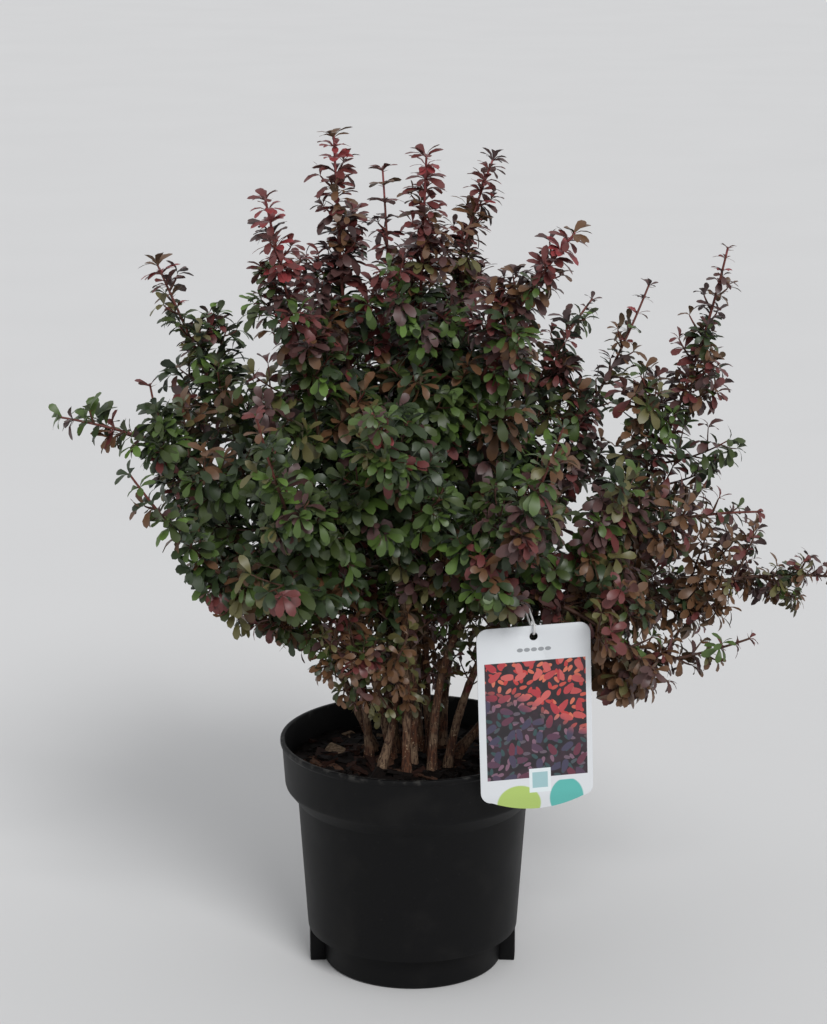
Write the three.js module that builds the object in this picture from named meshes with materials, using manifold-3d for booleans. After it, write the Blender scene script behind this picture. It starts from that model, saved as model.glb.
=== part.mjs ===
// Potted purple barberry: a many-stemmed shrub in a black nursery pot, with its picture label.
// Millimetres, +Z up, +X to the viewer's right, +Y away from the viewer.
// The origin is the centre of the pot's flat underside.
import * as THREE from 'three';
import { mergeVertices } from 'three/addons/utils/BufferGeometryUtils.js';
import Module from 'manifold-3d';

// Clearance between neighbouring solids, and the finest detail kept where pieces are joined
const GAP = 0.3;
const SLIVER = 0.02;

// Pot
const POT_HEIGHT = 156;
const RIM_RADIUS = 88;
const COLLAR_RADIUS = 85;
const COLLAR_HEIGHT = 31;
const SHOULDER_HEIGHT = 11;
const WALL_TOP_RADIUS = 76.5;
const WALL_FOOT_RADIUS = 70.5;
const BASE_RADIUS = 60;
const BASE_HEIGHT = 24;
const POT_WALL = 2;
const POT_SIDES = 28;
const LUG_WIDTH = 16;
const LUG_ANGLES = [-4, 184];
const DRAIN_HOLES = 6;
const DRAIN_RADIUS = 5;
const DRAIN_CIRCLE = 44;

// Soil: flat where the stems stand, a little lower at the wall
const SOIL_TOP = 141;
const SOIL_FLAT_RADIUS = 50;
const SOIL_EDGE_DROP = 3;

// Limbs
const STEM_RADIUS = 2.8;
const BOUGH_END_RADIUS = 1.9;
const FLARE = 0.4;
const FLARE_HEIGHT = 7;
const LIMB_SIDES = 5;
const LIMB_STEPS = 7;

// Foliage
const SHOOT_SIDES = 4;
const SHOOT_STEPS = 5;
const SHOOT_RADIUS = 2.3;
const SHOOT_TIP_RADIUS = 1.5;
const TWIG_SIDES = 3;
const TWIG_STEPS = 2;
const TWIG_RADIUS = 1;
const TWIG_TIP_RADIUS = 1;
const TWIG_SPACING = 30;
const TWIG_LENGTH = 52;
const SLIM_FROM = 0.35;
const SLIM_TO = 0.8;
const SLIM_SHARE = 0.25;
const LEAF_LENGTH = 44;
const LEAF_WIDTH = 25;
const LEAF_THICKNESS = 1.4;
const CROWN_FOOT = 192;
const CROWN_FOOT_SLOPE = 0.2;
const CROWN_FOOT_RISE = 1;
const CROWN_FOOT_SIDE = 50;
const SPACE_RADIUS = 72;
const SPACE_MARGIN = 0.6;
const LEAF_TILT = 0.6;
const TIP_LEAF_SHARE = 0.45;
const GOLDEN_TURN = 137.5;
const FIRST_SEED = 1;

// Label
const CARD_WIDTH = 73;
const CARD_HEIGHT = 116;
const CARD_THICKNESS = 0.8;
const CARD_CORNER = 7;
const CARD_BELLY = 6;
const CARD_YAW = 9;
const CARD_ROLL = 2;
const CARD_HOLE_RADIUS = 2.7;
const CARD_HOLE_DROP = 7;
const TIE_WIRE_RADIUS = 0.7;
const TIE_LOOP_RADIUS = 4;
const TIE_ROOM = 8;

// Stems stand on the soil in an inner and an outer ring
const INNER = 14;
const OUTER = 29;

// The main shoots, each one stem from the soil: its bearing (0 is right, 90 is back), how far out
// and how high its tip reaches, how strongly it bows, the ring and bearing of its foot, and the
// part of it that is bare before its foliage starts.
const MAIN_SHOOTS = [
  { name: 'top_left', bearing: 220, reach: 63, top: 559, bow: -0.02, ring: INNER, foot: 132, bare: 0.42 },
  { name: 'top_front', bearing: 278, reach: 61, top: 549, bow: 0.04, ring: INNER, foot: 272, bare: 0.42 },
  { name: 'top_right', bearing: 50, reach: 82, top: 532, bow: 0.1, ring: INNER, foot: 65, bare: 0.42 },
  { name: 'high_left', bearing: 224, reach: 123, top: 526, bow: 0, ring: INNER, foot: 200, bare: 0.42 },
  { name: 'high_right', bearing: 320, reach: 128, top: 505, bow: 0.12, ring: INNER, foot: 340, bare: 0.42 },
  { name: 'shoulder_left', bearing: 157, reach: 184, top: 461, bow: 0, ring: OUTER, foot: 150, bare: 0.48 },
  { name: 'shoulder_right', bearing: 3, reach: 202, top: 482, bow: -0.07, ring: OUTER, foot: 14, bare: 0.42 },
  { name: 'far_left', bearing: 188, reach: 226, top: 380, bow: 0.2, ring: OUTER, foot: 180, bare: 0.45 },
  { name: 'far_right', bearing: 344, reach: 226, top: 326, bow: 0.2, ring: OUTER, foot: 323, bare: 0.45 },
  { name: 'long_right', bearing: 357, reach: 296, top: 268, bow: 0.16, ring: OUTER, foot: 349, bare: 0.45 },
  { name: 'label_side', bearing: 331, reach: 184, top: 222, bow: 0.5, ring: OUTER, foot: 296, bare: 0.63 },
  { name: 'low_left', bearing: 207, reach: 135, top: 282, bow: 0.4, ring: OUTER, foot: 225, bare: 0.5 },
  { name: 'front', bearing: 262, reach: 168, top: 412, bow: 0.15, ring: OUTER, foot: 262, bare: 0.48 },
  { name: 'back_right', bearing: 46, reach: 178, top: 428, bow: 0.12, ring: OUTER, foot: 46, bare: 0.45 },
  { name: 'back_left', bearing: 116, reach: 172, top: 428, bow: 0.12, ring: OUTER, foot: 116, bare: 0.45 },
  { name: 'back', bearing: 84, reach: 192, top: 425, bow: 0.2, ring: OUTER, foot: 82, bare: 0.45 },
];

// The side shoots, each borne by a main shoot's bare stem at the given part of it.
const SIDE_SHOOTS = [
  { name: 'top_back', from: 'top_left', at: 0.36, bearing: 100, reach: 116, top: 519 },
  { name: 'upper_right', from: 'top_right', at: 0.36, bearing: 33, reach: 191, top: 442 },
  { name: 'front_right', from: 'high_right', at: 0.34, bearing: 302, reach: 168, top: 398 },
  { name: 'front_left', from: 'high_left', at: 0.4, bearing: 236, reach: 166, top: 404 },
  { name: 'mid_left', from: 'far_left', at: 0.36, bearing: 210, reach: 200, top: 360 },
  { name: 'left_behind', from: 'shoulder_left', at: 0.36, bearing: 164, reach: 181, top: 384 },
  { name: 'lower_left', from: 'shoulder_left', at: 0.22, bearing: 160, reach: 132, top: 262 },
  { name: 'right_behind', from: 'shoulder_right', at: 0.32, bearing: 17, reach: 212, top: 322 },
  { name: 'lower_right', from: 'far_right', at: 0.34, bearing: 343, reach: 224, top: 244 },
  { name: 'low_front', from: 'front', at: 0.22, bearing: 235, reach: 98, top: 250 },
  { name: 'back_low_right', from: 'back_right', at: 0.3, bearing: 55, reach: 185, top: 285 },
  { name: 'back_low_left', from: 'back_left', at: 0.3, bearing: 122, reach: 185, top: 280 },
];

const wasm = await Module();
wasm.setup();

const radians = THREE.MathUtils.degToRad;
const upward = new THREE.Vector3(0, 0, 1);

// A repeatable number from 0 to 1 for each seed
function jitter(seed) {
  const wave = Math.sin(seed * 12.9898 + 4.1414) * 43758.5453;
  return wave - Math.floor(wave);
}

// A point given by its bearing, its distance from the pot's axis and its height
function polar(bearing, distance, height) {
  const angle = radians(bearing);
  return new THREE.Vector3(distance * Math.cos(angle), distance * Math.sin(angle), height);
}

// Merged, closed geometry with positions only
function closed(geometry) {
  geometry.deleteAttribute('normal');
  geometry.deleteAttribute('uv');
  return mergeVertices(geometry, 1e-4);
}

function toSolid(geometry) {
  const mesh = closed(geometry);
  return new wasm.Manifold(new wasm.Mesh({
    numProp: 3,
    vertProperties: new Float32Array(mesh.attributes.position.array),
    triVerts: new Uint32Array(mesh.index.array),
  }));
}

// Back from a solid to geometry, keeping only its largest connected surface.
// Slivers that the joins leave, finer than the tolerance, are merged away.
function toGeometry(solid) {
  const { vertProperties, triVerts } = solid.simplify(SLIVER).getMesh();
  const owner = Array.from({ length: vertProperties.length / 3 }, (_, i) => i);
  const root = (i) => {
    let node = i;
    while (owner[node] !== node) node = owner[node];
    return node;
  };
  for (let i = 0; i < triVerts.length; i += 3) {
    const first = root(triVerts[i]);
    owner[root(triVerts[i + 1])] = first;
    owner[root(triVerts[i + 2])] = first;
  }
  const count = new Map();
  for (const vertex of triVerts) count.set(root(vertex), (count.get(root(vertex)) ?? 0) + 1);
  const [largest] = [...count].sort((a, b) => b[1] - a[1])[0];
  const kept = [];
  for (let i = 0; i < triVerts.length; i += 3) {
    if (root(triVerts[i]) === largest) kept.push(triVerts[i], triVerts[i + 1], triVerts[i + 2]);
  }
  const geometry = new THREE.BufferGeometry();
  geometry.setAttribute('position', new THREE.BufferAttribute(vertProperties, 3));
  geometry.setIndex(kept);
  return geometry;
}

function lathe(profile) {
  const geometry = new THREE.LatheGeometry(profile.map(([r, z]) => new THREE.Vector2(r, z)), POT_SIDES);
  return geometry.rotateX(Math.PI / 2);
}

// Pot: a thin shell with a collar, a sloping shoulder, a tapering wall and a narrower base
function potShell() {
  const shoulderTop = POT_HEIGHT - COLLAR_HEIGHT;
  const wallTop = shoulderTop - SHOULDER_HEIGHT;
  return toSolid(lathe([
    [0, 0],
    [BASE_RADIUS - 1.5, 0],
    [BASE_RADIUS, 1.5],
    [BASE_RADIUS, BASE_HEIGHT],
    [WALL_FOOT_RADIUS, BASE_HEIGHT],
    [WALL_TOP_RADIUS, wallTop],
    [COLLAR_RADIUS, shoulderTop],
    [RIM_RADIUS - 1, POT_HEIGHT - 3],
    [RIM_RADIUS, POT_HEIGHT - 2],
    [RIM_RADIUS, POT_HEIGHT],
    [RIM_RADIUS - 1 - POT_WALL, POT_HEIGHT],
    [COLLAR_RADIUS - POT_WALL, shoulderTop + 1],
    [WALL_TOP_RADIUS - POT_WALL, wallTop + 1],
    [WALL_FOOT_RADIUS - POT_WALL, BASE_HEIGHT + POT_WALL],
    [BASE_RADIUS - POT_WALL, BASE_HEIGHT + POT_WALL],
    [BASE_RADIUS - POT_WALL, POT_WALL],
    [0, POT_WALL],
  ]));
}

// Lug: a block at the side of the base that carries the full wall radius down to the ground
function lug(angle) {
  const inner = BASE_RADIUS - POT_WALL / 2;
  const depth = WALL_FOOT_RADIUS - 1 - inner;
  const block = new THREE.BoxGeometry(depth, LUG_WIDTH, BASE_HEIGHT + 1);
  block.translate(inner + depth / 2, 0, (BASE_HEIGHT + 1) / 2);
  return toSolid(block.rotateZ(radians(angle)));
}

function drainHole(index) {
  const hole = new THREE.CylinderGeometry(DRAIN_RADIUS, DRAIN_RADIUS, 3 * POT_WALL, 8);
  hole.rotateX(Math.PI / 2);
  hole.translate(DRAIN_CIRCLE, 0, POT_WALL);
  return toSolid(hole.rotateZ((index * 2 * Math.PI) / DRAIN_HOLES));
}

function pot() {
  let solid = potShell();
  for (const angle of LUG_ANGLES) solid = solid.add(lug(angle));
  for (let i = 0; i < DRAIN_HOLES; i += 1) solid = solid.subtract(drainHole(i));
  return toGeometry(solid);
}

// Soil: fills the pot up to a little below the rim, clear of the wall
function soil() {
  const shoulderTop = POT_HEIGHT - COLLAR_HEIGHT;
  const wallTop = shoulderTop - SHOULDER_HEIGHT;
  const inset = POT_WALL + GAP;
  return closed(lathe([
    [0, inset],
    [BASE_RADIUS - inset, inset],
    [BASE_RADIUS - inset, BASE_HEIGHT + inset],
    [WALL_FOOT_RADIUS - inset, BASE_HEIGHT + inset],
    [WALL_TOP_RADIUS - inset, wallTop + 1],
    [COLLAR_RADIUS - inset, shoulderTop + 1 + GAP],
    [COLLAR_RADIUS - inset, SOIL_TOP - SOIL_EDGE_DROP],
    [SOIL_FLAT_RADIUS, SOIL_TOP],
    [0, SOIL_TOP],
  ]));
}

// A tapering limb along part of a planar curve, made by bending a cylinder onto it.
// radius gives the limb's radius at each part of the curve, and sunk feet are cut flat at floor.
function limb(curve, from, to, radius, sides, steps, floor = null) {
  const across = new THREE.Vector3().subVectors(curve.v1, curve.v0)
    .cross(new THREE.Vector3().subVectors(curve.v2, curve.v0));
  if (across.lengthSq() < 1e-6) across.set(curve.v2.y - curve.v0.y, curve.v0.x - curve.v2.x, 0.1);
  across.normalize();
  const geometry = closed(new THREE.CylinderGeometry(1, 1, 1, sides, steps));
  const position = geometry.attributes.position;
  for (let i = 0; i < position.count; i += 1) {
    const ring = position.getY(i) + 0.5;
    const part = from + (to - from) * (floor === null ? ring : ring ** 1.5);
    const tangent = curve.getTangent(part);
    const normal = new THREE.Vector3().crossVectors(across, tangent);
    const point = curve.getPoint(part)
      .addScaledVector(across, position.getX(i) * radius(part))
      .addScaledVector(normal, position.getZ(i) * radius(part));
    if (floor !== null && ring < 1e-6) point.z = floor;
    position.setXYZ(i, point.x, point.y, point.z);
  }
  return geometry;
}

// A main shoot's curve: from its foot on the soil, bowing upward, to its tip
function mainCurve({ bearing, reach, top, bow, ring, foot }) {
  const start = polar(foot, ring, SOIL_TOP + GAP);
  const tip = polar(bearing, reach, top);
  const chord = new THREE.Vector3().subVectors(tip, start);
  const outward = polar(bearing, 1, 0);
  const side = new THREE.Vector3(
    -outward.x * chord.z,
    -outward.y * chord.z,
    chord.dot(outward),
  ).normalize();
  const middle = new THREE.Vector3().addVectors(start, tip).multiplyScalar(0.5);
  middle.addScaledVector(side, 2 * bow * chord.length());
  return new THREE.QuadraticBezierCurve3(start, middle, tip);
}

function stemRadius(shoot, part) {
  const height = part * shoot.curve.getLength();
  const taper = THREE.MathUtils.lerp(STEM_RADIUS, BOUGH_END_RADIUS, Math.min(part / shoot.bare, 1));
  return taper * (1 + FLARE * Math.exp(-height / FLARE_HEIGHT));
}

function makeMainShoot(spec) {
  const curve = mainCurve(spec);
  const shoot = { ...spec, curve };
  shoot.clear = spec.bare + GAP / curve.getLength();
  return shoot;
}

// A side shoot leaves its bearer at a right angle, towards its own tip, and then turns to it
function makeSideShoot(spec, bearer) {
  const tip = polar(spec.bearing, spec.reach, spec.top);
  const tangent = bearer.curve.getTangent(spec.at);
  const node = bearer.curve.getPoint(spec.at);
  const away = new THREE.Vector3().subVectors(tip, node);
  away.addScaledVector(tangent, -away.dot(tangent)).normalize();
  const start = node.addScaledVector(away, stemRadius(bearer, spec.at) + GAP);
  const turn = start.clone().addScaledVector(away, 0.45 * start.distanceTo(tip));
  return { ...spec, curve: new THREE.QuadraticBezierCurve3(start, turn, tip), clear: 0 };
}

const mains = MAIN_SHOOTS.map(makeMainShoot);
const sides = SIDE_SHOOTS.map((spec) => makeSideShoot(spec, mains.find((m) => m.name === spec.from)));
const shoots = [...mains, ...sides];

// Points along the bare stems, with their radii, and along every leafy shoot
const SAMPLES = 40;
const stemPoints = mains.flatMap((shoot) => Array.from({ length: SAMPLES }, (_, i) => {
  const part = (shoot.bare * i) / (SAMPLES - 1);
  return { at: shoot.curve.getPoint(part), radius: stemRadius(shoot, part) };
}));
for (const shoot of shoots) {
  shoot.line = Array.from({ length: SAMPLES }, (_, i) => (
    shoot.curve.getPoint(shoot.clear + ((1 - shoot.clear) * i) / (SAMPLES - 1))));
}

function distanceTo(line, point) {
  return Math.sqrt(Math.min(...line.map((other) => other.distanceToSquared(point))));
}

// The label card's own frame: X across, Z up, and Y away from the viewer, with the hole at (0, 0)
const cardFrame = new THREE.Matrix4().makeTranslation(76, -80.5, 250)
  .multiply(new THREE.Matrix4().makeRotationZ(radians(CARD_YAW)))
  .multiply(new THREE.Matrix4().makeRotationY(radians(-CARD_ROLL)));
const intoCard = cardFrame.clone().invert();

// Where the label's bough crosses the middle plane of the card, and its half-width there
const tieBearer = mains.find((shoot) => shoot.name === 'label_side');
const tieParts = Array.from({ length: 400 }, (_, i) => (tieBearer.bare * i) / 399);
const tiePart = tieParts.find((part) => tieBearer.curve.getPoint(part).applyMatrix4(intoCard).x > 0);
const tieNode = tieBearer.curve.getPoint(tiePart).applyMatrix4(intoCard);
const tieSlant = tieBearer.curve.getTangent(tiePart).transformDirection(intoCard).x;
const tieBoughRadius = (stemRadius(tieBearer, tiePart) + TIE_WIRE_RADIUS / 2) / tieSlant;

function nearLabel(point, room) {
  const local = point.clone().applyMatrix4(intoCard);
  const overCard = Math.abs(local.x) < CARD_WIDTH / 2 + room && local.z > -CARD_HEIGHT
    && local.z < CARD_HOLE_DROP + TIE_ROOM + room && local.y < TIE_ROOM + room;
  const along = THREE.MathUtils.clamp(local.y / tieNode.y, 0, 1);
  return overCard || local.distanceTo(tieNode.clone().multiplyScalar(along)) < TIE_ROOM + room;
}

// How low the crown hangs at a point: lower at the back, and rising towards its left side
function crownFoot({ x, y }) {
  return CROWN_FOOT - CROWN_FOOT_SLOPE * y + CROWN_FOOT_RISE * Math.max(-x - CROWN_FOOT_SIDE, 0);
}

// Whether a point of a shoot's twig or leaf lies in the shoot's own space: above the crown's foot,
// nearer to it than to any other leafy shoot, and clear of the bare stems and the label
function inOwnSpace(shoot, point, room) {
  const own = distanceTo(shoot.line, point);
  if (own > SPACE_RADIUS || point.z < crownFoot(point) + room) return false;
  if (nearLabel(point, room)) return false;
  if (stemPoints.some((stem) => stem.at.distanceTo(point) < stem.radius + room + SPACE_MARGIN)) return false;
  return shoots.every((other) => (
    other === shoot || distanceTo(other.line, point) > own + 2 * (room + SPACE_MARGIN)));
}

// Leaf: a flat octahedron, widest past its middle, with its root at the origin and its tip on +X
function leafGeometry(root, along, face, size) {
  const across = new THREE.Vector3().crossVectors(face, along).normalize();
  const normal = new THREE.Vector3().crossVectors(along, across).normalize();
  const geometry = closed(new THREE.OctahedronGeometry(1));
  const position = geometry.attributes.position;
  for (let i = 0; i < position.count; i += 1) {
    const [x, y, z] = [position.getX(i), position.getY(i), position.getZ(i)];
    const reach = Math.abs(x) > 0.5 ? (x + 1) / 2 : 0.58;
    const point = root.clone()
      .addScaledVector(along, reach * LEAF_LENGTH * size)
      .addScaledVector(across, (y * LEAF_WIDTH * size) / 2)
      .addScaledVector(normal, (z * LEAF_THICKNESS) / 2 + 4 * reach * (1 - reach) * 2 * size);
    position.setXYZ(i, point.x, point.y, point.z);
  }
  return geometry;
}

function cornersOf(geometry) {
  const position = geometry.attributes.position;
  return Array.from({ length: position.count }, (_, i) => (
    new THREE.Vector3().fromBufferAttribute(position, i)));
}

// Leaf: leaves its wood sideways by the turn and partly along it, and faces out of the crown
function leafAt(root, wood, turn, lean, size) {
  const level = new THREE.Vector3().crossVectors(wood, upward).normalize();
  const over = new THREE.Vector3().crossVectors(level, wood).normalize();
  const out = level.multiplyScalar(Math.cos(turn)).addScaledVector(over, 0.6 * Math.sin(turn));
  const along = out.addScaledVector(wood, lean).normalize();
  const face = new THREE.Vector3(root.x, root.y, 0).normalize().addScaledVector(upward, LEAF_TILT);
  return leafGeometry(root, along, face, size);
}

// How far along its leafy part a place on a shoot lies, from 0 to 1
function alongLeaves(shoot, part) {
  return (part - shoot.clear) / (1 - shoot.clear);
}

// The share of its full size that growth reaches: all of it low down, and little near the slim tip
function vigour(shoot, part) {
  const slim = (alongLeaves(shoot, part) - SLIM_FROM) / (SLIM_TO - SLIM_FROM);
  return THREE.MathUtils.lerp(1, SLIM_SHARE, THREE.MathUtils.clamp(slim, 0, 1));
}

// Twigs of one shoot: one at each golden turn, shorter towards the tip, bending upward.
// A twig that would leave the shoot's space is tried shorter, and then left out.
function twigsOf(shoot, seed) {
  const length = shoot.curve.getLength() * (1 - shoot.clear);
  const count = Math.max(4, Math.round(length / TWIG_SPACING));
  const twigs = [];
  for (let k = 0; k < count; k += 1) {
    const part = shoot.clear + (1 - shoot.clear) * (0.06 + (0.84 * (k + 0.3)) / count);
    const node = shoot.curve.getPoint(part);
    const wood = shoot.curve.getTangent(part);
    const turn = radians(k * GOLDEN_TURN + 360 * jitter(seed));
    const level = new THREE.Vector3().crossVectors(wood, upward).normalize();
    const over = new THREE.Vector3().crossVectors(level, wood).normalize();
    const out = level.multiplyScalar(Math.cos(turn)).addScaledVector(over, Math.sin(turn));
    const full = TWIG_LENGTH * vigour(shoot, part) * (0.85 + 0.3 * jitter(seed + k * 7.3));
    for (const share of [1, 0.7, 0.45]) {
      const bend = node.clone().addScaledVector(out, 0.42 * full * share)
        .addScaledVector(wood, 0.25 * full * share);
      const tip = node.clone().addScaledVector(out, 0.75 * full * share)
        .addScaledVector(wood, 0.5 * full * share).addScaledVector(upward, 0.15 * full * share);
      const curve = new THREE.QuadraticBezierCurve3(node.clone(), bend, tip);
      const fits = [0.3, 0.5, 0.75, 1].every((t) => inOwnSpace(shoot, curve.getPoint(t), TWIG_RADIUS));
      if (fits) {
        twigs.push({ curve, size: leafSize(shoot, part) });
        break;
      }
    }
  }
  return twigs;
}

function leafSize(shoot, part) {
  return THREE.MathUtils.lerp(TIP_LEAF_SHARE, 1, vigour(shoot, part));
}

function leavesOf(shoot, twigs, seed) {
  const leaves = [];
  const tryLeaf = (curve, part, turn, lean, size) => {
    const root = curve.getPoint(part);
    const leaf = leafAt(root, curve.getTangent(part), turn, lean, size);
    const fits = (corner) => corner.distanceTo(root) < TWIG_RADIUS || inOwnSpace(shoot, corner, 0);
    if (cornersOf(leaf).every(fits)) leaves.push(leaf);
  };
  twigs.forEach((twig, k) => {
    const size = twig.size * (0.85 + 0.3 * jitter(seed + k * 5.1));
    const turn = 1.2 * (jitter(seed + k * 3.7) - 0.5);
    tryLeaf(twig.curve, 0.45, turn, 0.4, size);
    tryLeaf(twig.curve, 0.54, turn + Math.PI, 0.6, size);
    tryLeaf(twig.curve, 0.94, -turn, 1.2, 0.9 * size);
  });
  for (let n = 1; n <= 3; n += 1) {
    const part = shoot.clear + (1 - shoot.clear) * (1 + (n - 3.05) / SHOOT_STEPS);
    tryLeaf(shoot.curve, part, n * radians(GOLDEN_TURN), 0.8, leafSize(shoot, part) * (1 - 0.1 * n));
  }
  return leaves;
}

// A mass of foliage: its shoot, the twigs and the leaves, joined into one body
function foliage(shoot, seed) {
  const radius = (part) => (
    THREE.MathUtils.lerp(SHOOT_RADIUS, SHOOT_TIP_RADIUS, alongLeaves(shoot, part)));
  let solid = toSolid(limb(shoot.curve, shoot.clear, 1, radius, SHOOT_SIDES, SHOOT_STEPS));
  const twigs = twigsOf(shoot, seed);
  const twigRadius = (part) => THREE.MathUtils.lerp(TWIG_RADIUS, TWIG_TIP_RADIUS, part);
  for (const twig of twigs) {
    solid = solid.add(toSolid(limb(twig.curve, 0, 1, twigRadius, TWIG_SIDES, TWIG_STEPS)));
  }
  const leaves = leavesOf(shoot, twigs, seed);
  for (const leaf of leaves) solid = solid.add(toSolid(leaf));
  return toGeometry(solid);
}

// Label card: rounded top corners, a shallow curved foot and a hole for the tie
function labelCard() {
  const [left, right] = [-CARD_WIDTH / 2, CARD_WIDTH / 2];
  const [head, foot] = [CARD_HOLE_DROP, CARD_HOLE_DROP - CARD_HEIGHT];
  const outline = new THREE.Shape();
  outline.moveTo(left, foot + CARD_CORNER);
  outline.lineTo(left, head - CARD_CORNER);
  outline.quadraticCurveTo(left, head, left + CARD_CORNER, head);
  outline.lineTo(right - CARD_CORNER, head);
  outline.quadraticCurveTo(right, head, right, head - CARD_CORNER);
  outline.lineTo(right, foot + CARD_CORNER);
  outline.quadraticCurveTo(right, foot, right - CARD_CORNER, foot);
  outline.quadraticCurveTo(0, foot - 2 * CARD_BELLY, left + CARD_CORNER, foot);
  outline.quadraticCurveTo(left, foot, left, foot + CARD_CORNER);
  const geometry = new THREE.ExtrudeGeometry(outline, {
    depth: CARD_THICKNESS, bevelEnabled: false, curveSegments: 5,
  });
  geometry.translate(0, 0, -CARD_THICKNESS / 2);
  const hole = new THREE.CylinderGeometry(CARD_HOLE_RADIUS, CARD_HOLE_RADIUS, 3, 10);
  const card = toSolid(geometry).subtract(toSolid(hole.rotateX(Math.PI / 2)));
  return toGeometry(card).rotateX(Math.PI / 2).applyMatrix4(cardFrame);
}

// Tie: a long plastic loop in the card's middle plane, through the hole and round the bough behind
function labelTie() {
  const hook = new THREE.Vector3(0, 0, CARD_HOLE_RADIUS - GAP - TIE_WIRE_RADIUS + TIE_LOOP_RADIUS);
  const pull = new THREE.Vector3(0, tieNode.y, tieNode.z).sub(hook);
  const stretch = pull.length() + tieBoughRadius + GAP + TIE_WIRE_RADIUS - TIE_LOOP_RADIUS;
  pull.normalize();
  const loop = closed(new THREE.TorusGeometry(TIE_LOOP_RADIUS, TIE_WIRE_RADIUS, 5, 14));
  const position = loop.attributes.position;
  for (let i = 0; i < position.count; i += 1) {
    if (position.getY(i) > 0) position.setY(i, position.getY(i) + stretch);
  }
  const across = new THREE.Vector3(1, 0, 0);
  const side = new THREE.Vector3().crossVectors(pull, across);
  loop.applyMatrix4(new THREE.Matrix4().makeBasis(side, pull, across).setPosition(hook));
  return loop.applyMatrix4(cardFrame);
}

const group = new THREE.Group();

function addMesh(name, geometry, color, roughness) {
  const material = new THREE.MeshStandardMaterial({ color, roughness, metalness: 0 });
  const mesh = new THREE.Mesh(geometry, material);
  mesh.name = name;
  group.add(mesh);
}

const BARK = 0x5a4030;
const LEAF_PURPLE = 0x3c2329;
const LEAF_GREEN = 0x2d3a22;
const LEAF_OLIVE = 0x503c1e;

function leafColour(top) {
  if (top > 440) return LEAF_PURPLE;
  return top > 290 ? LEAF_GREEN : LEAF_OLIVE;
}

addMesh('pot', pot(), 0x1c1c1e, 0.55);
addMesh('soil', soil(), 0x2b1e17, 0.95);
for (const shoot of mains) {
  const radius = (part) => stemRadius(shoot, part);
  const geometry = limb(shoot.curve, 0, shoot.bare, radius, LIMB_SIDES, LIMB_STEPS, SOIL_TOP + GAP);
  addMesh(`stem_${shoot.name}`, geometry, BARK, 0.8);
}
shoots.forEach((shoot, index) => {
  addMesh(`foliage_${shoot.name}`, foliage(shoot, index + FIRST_SEED), leafColour(shoot.top), 0.45);
});
addMesh('label_card', labelCard(), 0xe6e6e6, 0.4);
addMesh('label_tie', labelTie(), 0xd8d8d8, 0.4);

export default group;
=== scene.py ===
import math

import bpy
import numpy as np
from mathutils import Matrix, Vector, noise


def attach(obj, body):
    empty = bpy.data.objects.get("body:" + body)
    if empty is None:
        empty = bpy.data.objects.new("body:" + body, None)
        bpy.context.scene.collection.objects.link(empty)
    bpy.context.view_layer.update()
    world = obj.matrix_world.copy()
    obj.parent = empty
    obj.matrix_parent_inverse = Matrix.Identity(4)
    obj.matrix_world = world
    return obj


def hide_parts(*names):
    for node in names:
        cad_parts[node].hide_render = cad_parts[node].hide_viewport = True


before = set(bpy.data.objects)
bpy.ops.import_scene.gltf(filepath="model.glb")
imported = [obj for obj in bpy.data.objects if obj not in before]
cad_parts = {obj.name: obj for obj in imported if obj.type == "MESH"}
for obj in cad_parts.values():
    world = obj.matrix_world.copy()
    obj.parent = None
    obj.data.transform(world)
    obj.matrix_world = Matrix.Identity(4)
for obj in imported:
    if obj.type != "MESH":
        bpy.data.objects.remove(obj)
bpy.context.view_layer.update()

# Pot: a thin-walled nursery pot of matt black plastic, moulded in one piece. A collar and a
# sloping shoulder stiffen its rim, and it stands on a narrower base between two lugs, with
# drain holes in its underside.
MM = 0.001
POT_HEIGHT = 156
RIM_RADIUS = 88
COLLAR_RADIUS = 85
COLLAR_HEIGHT = 31
SHOULDER_HEIGHT = 11
WALL_TOP_RADIUS = 76.5
WALL_FOOT_RADIUS = 70.5
BASE_RADIUS = 60
BASE_HEIGHT = 24
FOOT_CHAMFER = 1.5
WALL_FOOT_RISE = 6
WALL_FOOT_SPREAD = 0.4
RIM_LIP = 3
RIM_STEP = 1.2
POT_WALL = 2
POT_SIDES = 96
EDGE_ROUNDING = 0.7
LUG_WIDTH = 16
LUG_HEIGHT = BASE_HEIGHT + 1
LUG_ANGLES = (-4, 184)
DRAIN_HOLES = 6
DRAIN_RADIUS = 5
DRAIN_CIRCLE = 44
SHOULDER_TOP = POT_HEIGHT - COLLAR_HEIGHT
WALL_TOP = SHOULDER_TOP - SHOULDER_HEIGHT


def settled(name):
    """Puts the active object's place into its mesh, and names it."""
    bpy.ops.object.transform_apply(location=True, rotation=True, scale=True)
    piece = bpy.context.active_object
    piece.name = piece.data.name = name
    return piece


def turned(name, profile, sides):
    """A closed body turned about the pot's axis: a disc drawn out along (radius, height)."""
    radius, height = profile[0]
    bpy.ops.object.select_all(action="DESELECT")
    bpy.ops.mesh.primitive_circle_add(
        vertices=sides, radius=radius * MM, fill_type="NGON", location=(0, 0, height * MM)
    )
    bpy.ops.object.mode_set(mode="EDIT")
    for next_radius, next_height in profile[1:]:
        rise = (0, 0, (next_height - height) * MM)
        share = next_radius / radius
        bpy.ops.mesh.extrude_region_move(TRANSFORM_OT_translate={"value": rise})
        bpy.ops.transform.resize(
            value=(share, share, 1), center_override=(0, 0, next_height * MM)
        )
        radius, height = next_radius, next_height
    bpy.ops.mesh.select_all(action="SELECT")
    bpy.ops.mesh.normals_make_consistent(inside=False)
    bpy.ops.object.mode_set(mode="OBJECT")
    return settled(name)


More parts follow.
